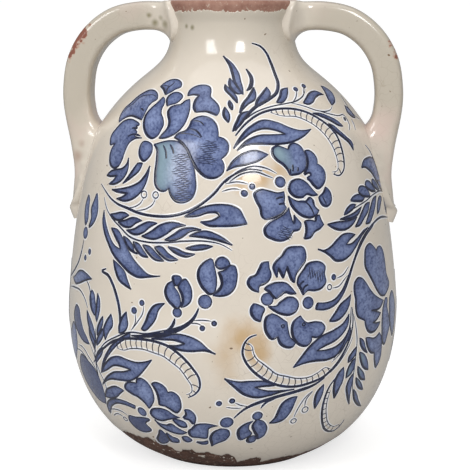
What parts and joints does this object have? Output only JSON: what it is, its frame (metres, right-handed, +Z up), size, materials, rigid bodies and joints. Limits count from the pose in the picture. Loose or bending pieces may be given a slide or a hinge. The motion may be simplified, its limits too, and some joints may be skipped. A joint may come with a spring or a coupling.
{
  "type": "two-handled ceramic vase",
  "caption": "Round-bottomed glazed earthenware vase with a short neck and two strap handles running from the rim to the shoulder.",
  "frame": {"origin": "centre of the foot, on the surface the vase stands on", "axes": "+Z up through the neck, the two handles along -X and +X, the main painted side towards -Y"},
  "size_m": [0.172, 0.17, 0.23],
  "materials": {
    "fired_clay": "bare fired red-brown clay, matt, seen where the glaze has chipped at the rim, the foot and the handles",
    "fired_slip": "clay slip smoothed round the handle ends, under the glaze",
    "tin_glaze": "glossy cream tin glaze with a hand-painted blue flower and leaf pattern",
    "lining_glaze": "plain cream glaze poured inside"
  },
  "bodies": {
    "root": {"clay_pot": "fired_clay", "clay_handle_left": "fired_clay", "clay_handle_right": "fired_clay", "slip_neck_left": "fired_slip", "slip_neck_right": "fired_slip", "slip_shoulder_left": "fired_slip", "slip_shoulder_right": "fired_slip", "glaze_jacket": "tin_glaze", "glaze_handle_left": "tin_glaze", "glaze_handle_right": "tin_glaze", "glaze_lining": "lining_glaze"}
  },
  "joints": []
}
